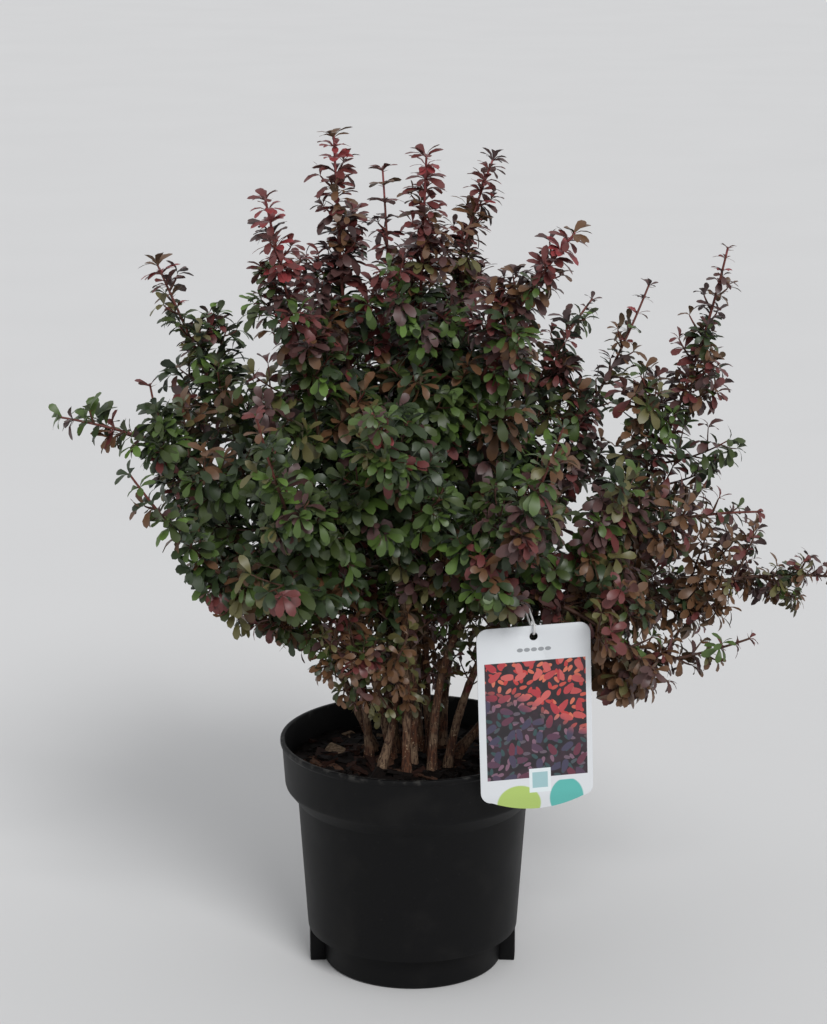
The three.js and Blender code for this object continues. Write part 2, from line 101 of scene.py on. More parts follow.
def worked(piece, kind, **settings):
    """Adds a modifier to a piece and applies it."""
    bpy.context.view_layer.objects.active = piece
    modifier = piece.modifiers.new(kind, kind)
    for setting, value in settings.items():
        setattr(modifier, setting, value)
    bpy.ops.object.modifier_apply(modifier=modifier.name)


def joined_or_cut(piece, tool, operation):
    """Joins a tool body to a piece, or cuts it out, and clears the tool away."""
    worked(piece, "BOOLEAN", operation=operation, object=tool, solver="EXACT")
    bpy.data.objects.remove(tool)


def smoothed(piece, angle):
    """Shades a piece smooth, apart from edges sharper than the angle."""
    bpy.ops.object.select_all(action="DESELECT")
    piece.select_set(True)
    bpy.context.view_layer.objects.active = piece
    bpy.ops.object.shade_smooth_by_angle(angle=math.radians(angle))


class Wire:
    """A socket in a finish's node tree. Sums and products of wires add their own nodes."""

    def __init__(self, socket):
        self.socket = socket
        self.tree = socket.id_data

    def node(self, kind, settings, sockets, output=0):
        made = self.tree.nodes.new("ShaderNode" + kind)
        for setting, value in settings.items():
            setattr(made, setting, value)
        for key, value in sockets.items():
            if isinstance(value, Wire):
                self.tree.links.new(value.socket, made.inputs[key])
            else:
                made.inputs[key].default_value = value
        return Wire(made.outputs[output])

    def math(self, operation, first, second):
        return self.node("Math", {"operation": operation}, {0: first, 1: second})

    def __add__(self, other):
        return self.math("ADD", self, other)

    def __radd__(self, other):
        return self.math("ADD", other, self)

    def __sub__(self, other):
        return self.math("SUBTRACT", self, other)

    def __rsub__(self, other):
        return self.math("SUBTRACT", other, self)

    def __mul__(self, other):
        return self.math("MULTIPLY", self, other)

    def __rmul__(self, other):
        return self.math("MULTIPLY", other, self)

    def between(self, low, high):
        """0 where the wire is at low, 1 where it is at high, and smooth in between."""
        return self.node(
            "MapRange",
            {"interpolation_type": "SMOOTHSTEP"},
            {"Value": self, "From Min": low, "From Max": high},
        )

    def blend(self, first, second):
        """The first colour where the wire is 0, and the second where it is 1."""
        return self.node("Mix", {"data_type": "RGBA"}, {0: self, 6: first, 7: second}, 2)

    def noise(self, scale, detail=3):
        """Soft noise over the place that the wire gives, in features a metre."""
        return self.node("TexNoise", {}, {"Vector": self, "Scale": scale, "Detail": detail})

    def raised(self, strength, distance):
        """A bump from the wire's height, with the distance in metres."""
        return self.node(
            "Bump", {}, {"Strength": strength, "Distance": distance, "Height": self}
        )

    def into(self, shader, name):
        self.tree.links.new(self.socket, shader.inputs[name])


def srgb(red, green, blue):
    """A base colour from the 0 to 255 values that a screen shows."""
    def linear(value):
        share = value / 255
        return share / 12.92 if share < 0.04 else ((share + 0.055) / 1.055) ** 2.4
    return (linear(red), linear(green), linear(blue), 1.0)


def new_finish(name, roughness, specular=0.5):
    """A new finish: its material, its shader, and the place on the piece as a wire."""
    material = bpy.data.materials.new(name)
    material.use_nodes = True
    shader = material.node_tree.nodes["Principled BSDF"]
    shader.inputs["Roughness"].default_value = roughness
    shader.inputs["Specular IOR Level"].default_value = specular
    coordinates = material.node_tree.nodes.new("ShaderNodeTexCoord")
    return material, shader, Wire(coordinates.outputs["Object"])


nursery_pot = turned(
    "nursery_pot",
    [
        (BASE_RADIUS - FOOT_CHAMFER, 0),
        (BASE_RADIUS, FOOT_CHAMFER),
        (BASE_RADIUS, BASE_HEIGHT),
        (WALL_FOOT_RADIUS, BASE_HEIGHT),
        (WALL_FOOT_RADIUS + WALL_FOOT_SPREAD, BASE_HEIGHT + WALL_FOOT_RISE),
        (WALL_TOP_RADIUS, WALL_TOP),
        (COLLAR_RADIUS - 0.5, SHOULDER_TOP - 1),
        (COLLAR_RADIUS, SHOULDER_TOP + 1),
        (RIM_RADIUS - RIM_STEP, POT_HEIGHT - RIM_LIP - 1),
        (RIM_RADIUS, POT_HEIGHT - RIM_LIP),
        (RIM_RADIUS, POT_HEIGHT),
        (RIM_RADIUS - 1 - POT_WALL, POT_HEIGHT),
        (COLLAR_RADIUS - POT_WALL, SHOULDER_TOP + 1),
        (WALL_TOP_RADIUS - POT_WALL, WALL_TOP + 1),
        (WALL_FOOT_RADIUS - POT_WALL, BASE_HEIGHT + POT_WALL),
        (BASE_RADIUS - POT_WALL, BASE_HEIGHT + POT_WALL),
        (BASE_RADIUS - POT_WALL, POT_WALL),
    ],
    POT_SIDES,
)
worked(
    nursery_pot, "BEVEL", width=EDGE_ROUNDING * MM, segments=2, limit_method="ANGLE",
    angle_limit=math.radians(20),
)
lug_depth = WALL_FOOT_RADIUS - BASE_RADIUS
for angle in LUG_ANGLES:
    turn = math.radians(angle)
    middle = BASE_RADIUS - POT_WALL / 2 + lug_depth / 2
    bpy.ops.object.select_all(action="DESELECT")
    bpy.ops.mesh.primitive_cube_add(
        size=1,
        location=(
            middle * math.cos(turn) * MM, middle * math.sin(turn) * MM, LUG_HEIGHT / 2 * MM
        ),
        rotation=(0, 0, turn),
        scale=(lug_depth * MM, LUG_WIDTH * MM, LUG_HEIGHT * MM),
    )
    lug = settled("lug")
    worked(lug, "BEVEL", width=EDGE_ROUNDING * MM, segments=2)
    joined_or_cut(nursery_pot, lug, "UNION")
for n in range(DRAIN_HOLES):
    turn = 2 * math.pi * n / DRAIN_HOLES
    bpy.ops.mesh.primitive_cylinder_add(
        vertices=24, radius=DRAIN_RADIUS * MM, depth=4 * POT_WALL * MM,
        location=(DRAIN_CIRCLE * math.cos(turn) * MM, DRAIN_CIRCLE * math.sin(turn) * MM, 0),
    )
    joined_or_cut(nursery_pot, settled("drain"), "DIFFERENCE")
smoothed(nursery_pot, 35)

pot_finish, shader, place = new_finish("matt black plastic", 0.5, 0.14)
grain = place.noise(1500, 4)
haze = place.noise(30, 5)
height = place.node("SeparateXYZ", {}, {0: place}, "Z")
dust = haze.between(0.52, 0.74) * 0.4 + place.noise(420, 2).between(0.68, 0.76) * 0.5
near_rim = height.between((POT_HEIGHT - 5) * MM, POT_HEIGHT * MM)
scuffs = near_rim * place.noise(160, 4).between(0.5, 0.66)
black_and_dusty = dust.blend(srgb(11, 11, 12), srgb(30, 29, 28))
scuffs.blend(black_and_dusty, srgb(52, 51, 49)).into(shader, "Base Color")
(0.42 + haze * 0.2).into(shader, "Roughness")
(grain + haze * 0.6).raised(0.35, 0.0002).into(shader, "Normal")
nursery_pot.data.materials.append(pot_finish)
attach(nursery_pot, "root")
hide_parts("pot")

# Potting soil: moist bark and peat, filled in by hand to a little below the rim, so its top is
# uneven and sinks towards the wall. It stands clear of the wall by a hair all the way down.
SOIL_TOP = 141
SOIL_EDGE_DROP = 3
SOIL_RINGS = 26
SOIL_CLEARANCE = POT_WALL + 0.3
SOIL_LUMPS = ((70, 2.2), (220, 1.3))
soil_edge = COLLAR_RADIUS - SOIL_CLEARANCE
top_rings = [
    (soil_edge * (1 - n / (SOIL_RINGS + 1)), SOIL_TOP - SOIL_EDGE_DROP * (1 - n / SOIL_RINGS))
    for n in range(SOIL_RINGS + 1)
]
soil = turned(
    "potting_soil",
    [
        (BASE_RADIUS - SOIL_CLEARANCE, SOIL_CLEARANCE),
        (BASE_RADIUS - SOIL_CLEARANCE, BASE_HEIGHT + SOIL_CLEARANCE),
        (WALL_FOOT_RADIUS - SOIL_CLEARANCE, BASE_HEIGHT + SOIL_CLEARANCE),
        (WALL_TOP_RADIUS - SOIL_CLEARANCE, WALL_TOP + 1),
        (soil_edge, SHOULDER_TOP + 1.3),
        *top_rings,
    ],
    POT_SIDES,
)
for vertex in soil.data.vertices:
    if vertex.co.z > (SOIL_TOP - SOIL_EDGE_DROP - 1) * MM:
        lumps = sum(noise.noise(vertex.co * scale) * size for scale, size in SOIL_LUMPS)
        vertex.co.z += lumps * MM
smoothed(soil, 60)

soil_finish, shader, place = new_finish("moist potting soil", 0.9, 0.1)
crumbs = place.noise(260, 6)
dark_and_brown = crumbs.between(0.42, 0.62).blend(srgb(9, 6, 5), srgb(22, 14, 11))
fibres = place.noise(90, 5).between(0.6, 0.7)
fibres.blend(dark_and_brown, srgb(40, 25, 19)).into(shader, "Base Color")
(0.75 + crumbs * 0.25).into(shader, "Roughness")
(crumbs + place.noise(900, 3) * 0.4).raised(0.9, 0.0012).into(shader, "Normal")
soil.data.materials.append(soil_finish)
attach(soil, "root")
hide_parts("soil")

# Bark chips: the coarse part of the potting mix, thin flakes of pine bark that lie half sunk in
# the top of the soil, most of them dark and wet, some red-brown, and a few pale dry ones.
CHIPS = 460
CHIP_SHORTEST = 5
CHIP_SPREAD = 13
CHIP_ROLL = 0.9
CHIP_PITCH = 0.7
CHIP_RISE = 0.6
CHIP_TINTS = {
    "wet bark chip": (srgb(15, 9, 7), 0.6),
    "red bark chip": (srgb(40, 22, 16), 0.31),
    "dry bark chip": (srgb(70, 48, 36), 0.07),
    "pale chip": (srgb(116, 98, 80), 0.02),
}
BOX_CORNERS = np.array([(x, y, z) for z in (-0.5, 0.5) for x, y in
                        ((-0.5, -0.5), (0.5, -0.5), (0.5, 0.5), (-0.5, 0.5))])
BOX_FACES = [(3, 2, 1, 0), (4, 5, 6, 7), (0, 1, 5, 4), (1, 2, 6, 5), (2, 3, 7, 6), (3, 0, 4, 7)]


def jitter(seed):
    """A repeatable number from 0 to 1 for each seed."""
    wave = math.sin(seed * 12.9898 + 4.1414) * 43758.5453
    return wave - math.floor(wave)


class Heap:
    """Many small closed shapes, in millimetres, that are joined into one piece."""

    def __init__(self):
        self.points = []
        self.faces = []
        self.slots = []
        self.count = 0

    def add(self, points, faces, slots):
        self.faces += [[corner + self.count for corner in face] for face in faces]
        self.slots += slots
        self.points.append(points)
        self.count += len(points)

    def piece(self, name, finishes, smooth_angle):
        mesh = bpy.data.meshes.new(name)
        mesh.from_pydata((np.concatenate(self.points) * MM).tolist(), [], self.faces)
        for finish in finishes:
            mesh.materials.append(finish)
        mesh.polygons.foreach_set("material_index", self.slots)
        made = bpy.data.objects.new(name, mesh)
        bpy.context.scene.collection.objects.link(made)
        smoothed(made, smooth_angle)
        return made


def plain_finish(name, colour, roughness, specular=0.4):
    """A finish of one plain tint, for joined pieces whose tints are dealt out by shape."""
    material, shader, _ = new_finish(name, roughness, specular)
    shader.inputs["Base Color"].default_value = colour
    return material


def mottled_finish(name, colour, roughness, specular=0.15):
    """A finish that is mottled in darker and lighter shades of one tint."""
    material, shader, place = new_finish(name, roughness, specular)
    darker = tuple(0.6 * value for value in colour[:3]) + (1,)
    lighter = tuple(min(1.3 * value, 1) for value in colour[:3]) + (1,)
    place.noise(500, 4).between(0.4, 0.6).blend(darker, lighter).into(shader, "Base Color")
    return material


def dealt(shares, luck):
    """The name whose share of the deal the luck, from 0 to 1, falls in."""
    left = luck * sum(shares.values())
    for name, share in shares.items():
        left -= share
        if left < 0:
            break
    return name


chips = Heap()
chip_shares = {name: share for name, (_, share) in CHIP_TINTS.items()}
for n in range(CHIPS):
    long = CHIP_SHORTEST + CHIP_SPREAD * jitter(n + 0.1) ** 2
    size = np.array([long, long * (0.35 + 0.3 * jitter(n + 0.2)), 1.2 + 1.8 * jitter(n + 0.3)])
    ragged = np.array([
        [0.75 + 0.5 * jitter(n * 31 + c * 3 + a) for a in range(3)] for c in range(8)
    ])
    away = (soil_edge - long / 2 - 2) * math.sqrt(jitter(n + 0.4))
    bearing = 2 * math.pi * jitter(n + 0.5)
    turn = (
        Matrix.Rotation(2 * math.pi * jitter(n + 0.6), 3, "Z")
        @ Matrix.Rotation(CHIP_ROLL * (jitter(n + 0.7) - 0.5), 3, "X")
        @ Matrix.Rotation(CHIP_PITCH * (jitter(n + 0.8) - 0.5), 3, "Y")
    )
    drop = SOIL_EDGE_DROP * away / soil_edge
    where = (away * math.cos(bearing), away * math.sin(bearing), SOIL_TOP + CHIP_RISE - drop)
    corners = BOX_CORNERS * ragged * size @ np.array(turn).T + where
    slot = list(CHIP_TINTS).index(dealt(chip_shares, jitter(n + 0.9)))
    chips.add(corners, BOX_FACES, [slot] * len(BOX_FACES))
chip_finishes = [mottled_finish(name, colour, 0.85) for name, (colour, _) in CHIP_TINTS.items()]
bark_chips = chips.piece("bark_chips", chip_finishes, 20)
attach(bark_chips, "root")

# Stems: sixteen woody stems rise from the soil in an inner and an outer ring and lean outwards.
# Their brown-grey bark is ribbed along the wood, with a knuckle where each old spine sat, and
# each stem flares a little at its foot and tapers to where its leaves start.
INNER = 14
OUTER = 29
STEM_RADIUS = 2.8
BOUGH_END_RADIUS = 1.9
FLARE = 0.4
FLARE_HEIGHT = 7
STEM_SIDES = 16
STEM_STEP = 2.2
STEM_SUNK = 4
GAP = 0.3
STRAIGHT = 0.02
UPRIGHT = 0.9
RIB_WAVE = 2.2
RIB_LENGTH = 11
RIB_DEPTH = 0.16
RIB_FADE = 12
KNUCKLE_SPACING = 26
KNUCKLE_LENGTH = 2.4
KNUCKLE_SWELL = 0.1
KNUCKLE_BULGE = 0.22
# Each shoot: the bearing of its tip (0 is right, 90 is back), how far out and how high the tip
# is, how strongly it bows, the ring and bearing of its foot, and the part of it that is bare.
MAIN_SHOOTS = {
    "top_left": (220, 63, 559, -0.02, INNER, 132, 0.42),
    "top_front": (278, 61, 549, 0.04, INNER, 272, 0.42),
    "top_right": (50, 82, 532, 0.1, INNER, 65, 0.42),
    "high_left": (224, 123, 526, 0, INNER, 200, 0.42),
    "high_right": (320, 128, 505, 0.12, INNER, 340, 0.42),
    "shoulder_left": (157, 184, 461, 0, OUTER, 150, 0.48),
    "shoulder_right": (3, 202, 482, -0.07, OUTER, 14, 0.42),
    "far_left": (188, 226, 380, 0.2, OUTER, 180, 0.45),
    "far_right": (344, 226, 326, 0.2, OUTER, 323, 0.45),
    "long_right": (357, 296, 268, 0.16, OUTER, 349, 0.45),
    "label_side": (331, 184, 222, 0.5, OUTER, 296, 0.63),
    "low_left": (207, 135, 282, 0.4, OUTER, 225, 0.5),
    "front": (262, 168, 412, 0.15, OUTER, 262, 0.48),
    "back_right": (46, 178, 428, 0.12, OUTER, 46, 0.45),
    "back_left": (116, 172, 428, 0.12, OUTER, 116, 0.45),
    "back": (84, 192, 425, 0.2, OUTER, 82, 0.45),
}
UP = np.array([0.0, 0.0, 1.0])


def unit(vector):
    return vector / np.linalg.norm(vector, axis=-1, keepdims=True)


def polar(bearing, distance, height):
    """A point by its bearing, its distance from the pot's axis and its height."""
    angle = math.radians(bearing)
    return np.array([distance * math.cos(angle), distance * math.sin(angle), height])


class Curve:
    """A line of wood in millimetres, from its root to its tip, drawn towards a bend."""

    def __init__(self, root, bend, tip):
        self.root, self.bend, self.tip = root, bend, tip
        line = self.at(np.linspace(0, 1, 201))
        self.length = np.linalg.norm(np.diff(line, axis=0), axis=1).sum()

    def at(self, part):
        part = np.asarray(part, float)[..., None]
        return (1 - part) ** 2 * self.root + 2 * part * (1 - part) * self.bend + part**2 * self.tip

    def way(self, part):
        part = np.asarray(part, float)[..., None]
        return unit((1 - part) * (self.bend - self.root) + part * (self.tip - self.bend))


class Shoot:
    """A leafy shoot: its curve, the part of it that is bare, and where its leaves start."""

    def __init__(self, name, curve, bare, clear):
        self.name, self.curve, self.bare, self.clear = name, curve, bare, clear


def main_shoot(name, bearing, reach, top, bow, ring, foot, bare):
    """A shoot that rises from the soil and bows up or down on its way to its tip."""
    start = polar(foot, ring, SOIL_TOP + GAP)
    tip = polar(bearing, reach, top)
    chord = tip - start
    outward = polar(bearing, 1, 0)
    side = unit(np.array([-outward[0] * chord[2], -outward[1] * chord[2], chord @ outward]))
    bend = (start + tip) / 2 + side * 2 * bow * np.linalg.norm(chord)
    curve = Curve(start, bend, tip)
    return Shoot(name, curve, bare, bare + GAP / curve.length)


def stem_radius(shoot, part):
    taper = STEM_RADIUS + (BOUGH_END_RADIUS - STEM_RADIUS) * np.minimum(part / shoot.bare, 1)
    return taper * (1 + FLARE * np.exp(-part * shoot.curve.length / FLARE_HEIGHT))


def tube(centres, ways, radii, sides):
    """Rings of points round a line of wood, and the faces that close them into one skin."""
    across = np.cross(ways[0], ways[-1])
    if np.linalg.norm(across) < STRAIGHT:
        across = np.cross(ways[0], UP if abs(ways[0][2]) < UPRIGHT else (1, 0, 0))
    across = unit(across)
    beside = unit(np.cross(ways, across))
    spin = 2 * np.pi * np.arange(sides) / sides
    radii = np.reshape(radii, (len(centres), -1, 1))
    rings = np.cos(spin)[:, None] * across + np.sin(spin)[:, None] * beside[:, None]
    points = (centres[:, None] + radii * rings).reshape(-1, 3)
    faces = [list(range(sides - 1, -1, -1))]
    for start in range(0, (len(centres) - 1) * sides, sides):
        for j in range(sides):
            near, far = start + j, start + (j + 1) % sides
            faces.append([near, far, far + sides, near + sides])
    last = (len(centres) - 1) * sides
    faces.append(list(range(last, last + sides)))
    return points, faces


bark_finish, shader, place = new_finish("ribbed brown bark", 0.8, 0.3)
stretched = place.node("Mapping", {}, {"Vector": place, "Scale": (1, 1, 0.22)})
ribs = stretched.noise(900, 4)
patches = place.noise(70, 4)
flecks = place.noise(700, 2).between(0.64, 0.7)
brown_and_grey = patches.between(0.4, 0.62).blend(srgb(92, 58, 40), srgb(120, 98, 78))
ribbed = ribs.between(0.35, 0.6).blend(srgb(52, 32, 24), brown_and_grey)
flecks.blend(ribbed, srgb(150, 128, 102)).into(shader, "Base Color")
(0.65 + ribs * 0.3).into(shader, "Roughness")
(ribs + place.noise(2200, 2) * 0.3).raised(0.7, 0.0005).into(shader, "Normal")

mains = {name: main_shoot(name, *sizes) for name, sizes in MAIN_SHOOTS.items()}
for number, (name, shoot) in enumerate(mains.items()):
    length = shoot.bare * shoot.curve.length
    parts = np.linspace(0, shoot.bare + 0.002, int(length / STEM_STEP))
    centres = shoot.curve.at(parts)
    ways = shoot.curve.way(parts)
    runs = parts * shoot.curve.length
    spin = 2 * np.pi * np.arange(STEM_SIDES) / STEM_SIDES
    rounds = [(RIB_WAVE * math.cos(s), RIB_WAVE * math.sin(s)) for s in spin]
    ribs_seen = np.array([
        [noise.noise(Vector((*xy, run / RIB_LENGTH + number * 9))) for xy in rounds]
        for run in runs
    ])
    knuckles = np.zeros_like(ribs_seen)
    for k in range(1, int(length / KNUCKLE_SPACING)):
        side = spin - 2 * math.pi * jitter(number * 17 + k)
        along = (runs - KNUCKLE_SPACING * (k + 0.4 * jitter(number + k * 3.1)))[:, None]
        bulge = KNUCKLE_SWELL + KNUCKLE_BULGE * np.maximum(np.cos(side), 0) ** 2
        knuckles += np.exp(-((along / KNUCKLE_LENGTH) ** 2)) * bulge
    fade = np.clip((length - runs) / RIB_FADE, 0, 1)[:, None]
    radii = stem_radius(shoot, parts)[:, None] * (1 + (RIB_DEPTH * ribs_seen + knuckles) * fade)
    centres[0] -= UP * STEM_SUNK
    points, faces = tube(centres, ways, radii, STEM_SIDES)
    wood = Heap()
    wood.add(points, faces, [0] * len(faces))
    stem = wood.piece(f"bark_{name}", [bark_finish], 50)
    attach(stem, "root")
    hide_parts(f"stem_{name}")

# Shoots and twigs: each stem runs on as a leafy shoot, side shoots leave the bare stems, and
# twigs leave each shoot at every golden turn and bear finer twigs of their own. The bark is
# brown on old wood, red-brown on this year's wood, and pink where the tips still grow.
SAMPLES = 40
FIRST_SEED = 1
GOLDEN_TURN = 137.5
TWIG_SPACING = 30
TWIG_LENGTH = 52
SLIM_FROM = 0.35
SLIM_TO = 0.8
SLIM_SHARE = 0.25
SIDE_SHOOT_BEND = 0.45
TWIG_ROOM = 1
TWIG_FLOOR = POT_HEIGHT + 20
CROWN_FOOT = 192
CROWN_FOOT_SLOPE = 0.2
CROWN_FOOT_RISE = 1
CROWN_FOOT_SIDE = 50
SPACE_RADIUS = 72
SPACE_MARGIN = 0.6
CARD_WIDTH = 73
CARD_HEIGHT = 116
CARD_HOLE_DROP = 7
CARD_PLACE = Matrix.Translation((76, -80.5, 250)) @ Matrix.Rotation(
    math.radians(9), 4, "Z") @ Matrix.Rotation(math.radians(-2), 4, "Y")
TIE_ROOM = 8
# Each side shoot: the stem that bears it and the place on it, then its tip as above.
SIDE_SHOOTS = {
    "top_back": ("top_left", 0.36, 100, 116, 519),
    "upper_right": ("top_right", 0.36, 33, 191, 442),
    "front_right": ("high_right", 0.34, 302, 168, 398),
    "front_left": ("high_left", 0.4, 236, 166, 404),
    "mid_left": ("far_left", 0.36, 210, 200, 360),
    "left_behind": ("shoulder_left", 0.36, 164, 181, 384),
    "lower_left": ("shoulder_left", 0.22, 160, 132, 262),
    "right_behind": ("shoulder_right", 0.32, 17, 212, 322),
    "lower_right": ("far_right", 0.34, 343, 224, 244),
    "low_front": ("front", 0.22, 235, 98, 250),
    "back_low_right": ("back_right", 0.3, 55, 185, 285),
    "back_low_left": ("back_left", 0.3, 122, 185, 280),
}


def side_shoot(name, bearer_name, at, bearing, reach, top):
    """A shoot that leaves a stem square to it and bends over to its tip."""
    bearer = mains[bearer_name]
    tip = polar(bearing, reach, top)
    way = bearer.curve.way(at)
    node = bearer.curve.at(at)
    away = tip - node
    away = unit(away - way * (away @ way))
    start = node + away * (stem_radius(bearer, at) + GAP)
    bend = start + away * SIDE_SHOOT_BEND * np.linalg.norm(tip - start)
    return Shoot(name, Curve(start, bend, tip), None, 0)


shoots = [*mains.values(), *(side_shoot(name, *sizes) for name, sizes in SIDE_SHOOTS.items())]
leafy_lines = np.array([s.curve.at(np.linspace(s.clear, 1, SAMPLES)) for s in shoots])
bare_parts = [(s, np.linspace(0, s.bare, SAMPLES)) for s in mains.values()]
stem_lines = np.concatenate([s.curve.at(parts) for s, parts in bare_parts])
stem_radii = np.concatenate([stem_radius(s, parts) for s, parts in bare_parts])
into_card = np.array(CARD_PLACE.inverted())
tie_parts = np.linspace(0, mains["label_side"].bare, 400)
tie_line = mains["label_side"].curve.at(tie_parts) @ into_card[:3, :3].T + into_card[:3, 3]
tie_step = int(np.argmax(tie_line[:, 0] > 0))
tie_node = tie_line[tie_step]


def near_label(points, room):
    """Whether points lie in front of the label card, above it, or along its tie."""
    local = points @ into_card[:3, :3].T + into_card[:3, 3]
    over_card = (
        (abs(local[:, 0]) < CARD_WIDTH / 2 + room)
        & (local[:, 2] > -CARD_HEIGHT)
        & (local[:, 2] < CARD_HOLE_DROP + TIE_ROOM + room)
        & (local[:, 1] < TIE_ROOM + room)
    )
    along = np.clip(local[:, 1] / tie_node[1], 0, 1)[:, None]
    return over_card | (np.linalg.norm(local - along * tie_node, axis=1) < TIE_ROOM + room)


def clear_of_rest(points, room, floor):
    """Whether points keep clear of the bare stems and the label, and above a floor."""
    bare = (np.linalg.norm(points[:, None] - stem_lines[None], axis=-1) - stem_radii).min(1)
    above = points[:, 2] >= floor + room
    return above & ~near_label(points, room) & (bare >= room + SPACE_MARGIN)


def crown_foot(points):
    """How low the crown hangs: lower at the back, and rising towards its left side."""
    rise = CROWN_FOOT_RISE * np.maximum(-points[:, 0] - CROWN_FOOT_SIDE, 0)
    return CROWN_FOOT - CROWN_FOOT_SLOPE * points[:, 1] + rise


def in_own_space(number, points, room, overlap=0):
    """Whether points lie above the crown's foot, nearer to their own shoot than to another, and
    clear of stems, label and pot. An overlap lets them pass the foot by as much, and the middle
    between two shoots by half as much."""
    away = np.linalg.norm(points[:, None, None] - leafy_lines[None], axis=-1).min(-1)
    own = away[:, number]
    others = np.delete(away, number, axis=1).min(1)
    own_side = (own <= SPACE_RADIUS) & (others > own + 2 * (room + SPACE_MARGIN) - overlap)
    own_side &= points[:, 2] > crown_foot(points) + room - overlap
    return own_side & clear_of_rest(points, room, TWIG_FLOOR)


def sideways(way, turn):
    """The direction that leaves a line of wood at a turn about it."""
    level = unit(np.cross(way, UP))
    over = unit(np.cross(level, way))
    return level * math.cos(turn) + over * math.sin(turn)


def ramp(value, low, high):
    """0 up to low, 1 from high on, and in proportion between."""
    return min(max((value - low) / (high - low), 0), 1)


def vigour(shoot, part):
    """The share of its full size that growth reaches on a shoot: little near the slim tip."""
    leafy = (part - shoot.clear) / (1 - shoot.clear)
    return 1 - (1 - SLIM_SHARE) * ramp(leafy, SLIM_FROM, SLIM_TO)


def twig_curve(node, way, turn, full):
    """A twig from a node that bends upward."""
    out = sideways(way, turn)
    bend = node + out * 0.42 * full + way * 0.25 * full
    return Curve(node, bend, node + (out * 0.75 + way * 0.5 + UP * 0.15) * full)


def twig(number, node, way, turn, full, overlap=0):
    """A twig that is tried shorter where it leaves its shoot's space, and then left out."""
    for share in (1, 0.7, 0.45):
        curve = twig_curve(node, way, turn, full * share)
        if in_own_space(number, curve.at((0.3, 0.5, 0.75, 1)), TWIG_ROOM, overlap).all():
            return curve
    return None


class Wood:
    """A shoot, twig or spur: its shoot's number, its curve, where it and its leaves start on it,
    its rank (0 shoot, 1 twig, 2 finer twig, 3 spur) and the vigour of its growth."""

    def __init__(self, number, curve, start, leafy, rank, vigour, seed):
        self.number, self.curve, self.start, self.leafy = number, curve, start, leafy
        self.rank, self.vigour, self.seed = rank, vigour, seed


TWIGS_A_NODE = 3
TWIG_FAN = 110
TWIG_SHORTER = 0.12
TWIG_OVERLAP = 9
NODES_FROM = 0.06
NODES_RUN = 0.84
FORKING_LENGTH = 20
FINER_PLACES = (0.3, 0.5, 0.7, 0.88)
FINER_SHARE = 0.52
FINER_SHORTER = 0.09
FINER_OVERLAP = 14
SPUR_SPACING = 5
SPUR_LENGTH = 24
SPUR_FLOOR = POT_HEIGHT + 5
SPURS_FROM = SOIL_TOP + 15
SPURS_FULL = SOIL_TOP + 75
woods = []
for number, shoot in enumerate(shoots):
    seed = number + FIRST_SEED
    leafy = 1 - shoot.clear
    start = max(shoot.clear - 0.004, 0)
    woods.append(Wood(number, shoot.curve, start, max(shoot.clear, 0.12), 0, 1, seed))
    count = max(4, round(shoot.curve.length * leafy / TWIG_SPACING))
    for k in range(TWIGS_A_NODE * count):
        step, extra = divmod(k, TWIGS_A_NODE)
        run = (step + 0.3 + extra / TWIGS_A_NODE) / count
        part = shoot.clear + leafy * (NODES_FROM + NODES_RUN * run)
        node, way = shoot.curve.at(part), shoot.curve.way(part)
        turn = math.radians(step * GOLDEN_TURN + 360 * jitter(seed) + TWIG_FAN * extra)
        strength = vigour(shoot, part)
        luck = 0.85 + 0.3 * jitter(seed + step * 7.3)
        full = TWIG_LENGTH * strength * (luck - TWIG_SHORTER * extra)
        grown = twig(number, node, way, turn, full, TWIG_OVERLAP * extra)
        if grown is None:
            continue
        woods.append(Wood(number, grown, 0, 0.25, 1, strength, seed * 100 + k))
        if full < FORKING_LENGTH:
            continue
        for m, share in enumerate(FINER_PLACES):
            side = turn + math.radians(90 + 180 * (m % 2) + 60 * jitter(seed + k * 1.7 + m))
            luck = 0.8 + 0.4 * jitter(seed + k * 2.3 + m)
            short = full * (FINER_SHARE - FINER_SHORTER * m) * luck
            finer = twig(number, grown.at(share), grown.way(share), side, short, FINER_OVERLAP)
            if finer is not None:
                finer_seed = seed * 1000 + k * 10 + m
                woods.append(Wood(number, finer, 0, 0.35, 2, strength, finer_seed))
for number, shoot in enumerate(mains.values()):
    length = shoot.bare * shoot.curve.length
    for k in range(int(length / SPUR_SPACING)):
        part = shoot.bare * (k + jitter(number * 7 + k)) * SPUR_SPACING / length
        node = shoot.curve.at(part)
        if jitter(number + k * 3.9) > ramp(node[2], SPURS_FROM, SPURS_FULL):
            continue
        turn = math.radians(k * GOLDEN_TURN + number * 50)
        full = SPUR_LENGTH * (0.3 + 0.9 * jitter(number * 5 + k * 1.3))
        spur = twig_curve(node, shoot.curve.way(part), turn, full)
        if clear_of_rest(spur.at((0.6, 1)), 0, SPUR_FLOOR).all():
            woods.append(Wood(number, spur, 0, 0.3, 3, 0.6, number * 300 + k))

# By rank: radii at root and tip, steps along the wood and sides round it.
WOOD_RADII = ((1.8, 0.7), (1.0, 0.45), (0.6, 0.35), (0.6, 0.35))
WOOD_STEPS = (46, 7, 4, 4)
WOOD_SIDES = (8, 6, 5, 5)
